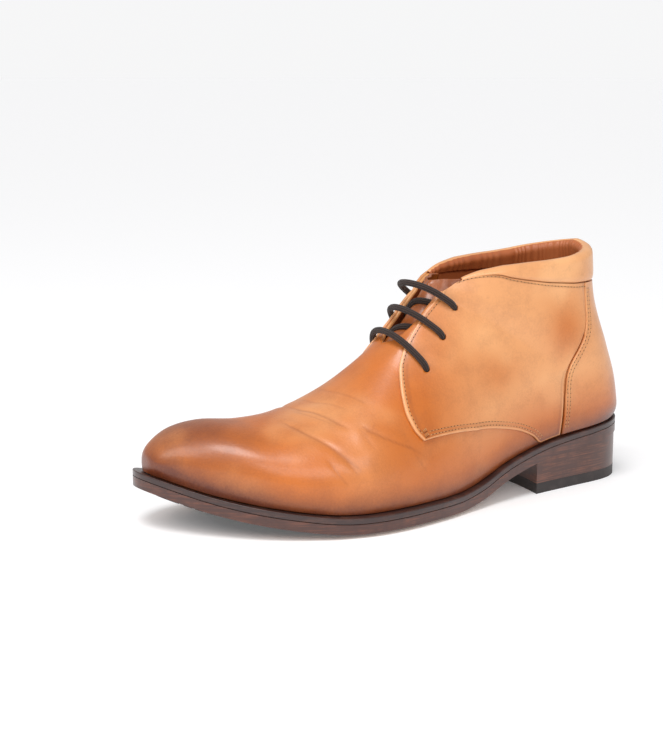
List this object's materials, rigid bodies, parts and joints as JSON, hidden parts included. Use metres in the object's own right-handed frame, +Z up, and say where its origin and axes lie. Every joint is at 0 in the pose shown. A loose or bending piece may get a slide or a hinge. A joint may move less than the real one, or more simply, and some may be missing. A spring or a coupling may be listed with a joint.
{
  "type": "lace-up shoe",
  "caption": "Ankle-high lace-up leather boot for the left foot, with open lacing, a leather sole with a rubber forefoot, and a stacked heel.",
  "frame": {"origin": "on the floor under the middle of the heel", "axes": "+X to the toe, +Y to the outer side of the foot, +Z up"},
  "size_m": [0.3, 0.107, 0.1347],
  "materials": {
    "tan_leather": "burnished, satin",
    "lining_leather": "matt",
    "sole_edge_leather": "stained and waxed",
    "sole_leather": "plain, worn",
    "black_rubber": "matt",
    "brown_cord": "waxed cotton"
  },
  "bodies": {
    "root": {"outsole": "sole_leather", "forefoot_pad": "black_rubber", "welt": "sole_edge_leather", "insole": "lining_leather", "heel_stack": "sole_edge_leather", "heel_lift": "black_rubber", "upper": "tan_leather", "tongue": "tan_leather", "counter": "tan_leather", "collar_band": "tan_leather", "quarter_lateral": "tan_leather", "quarter_medial": "tan_leather", "lace_bar_1": "brown_cord", "lace_bar_2": "brown_cord", "lace_bar_3": "brown_cord"}
  },
  "joints": []
}
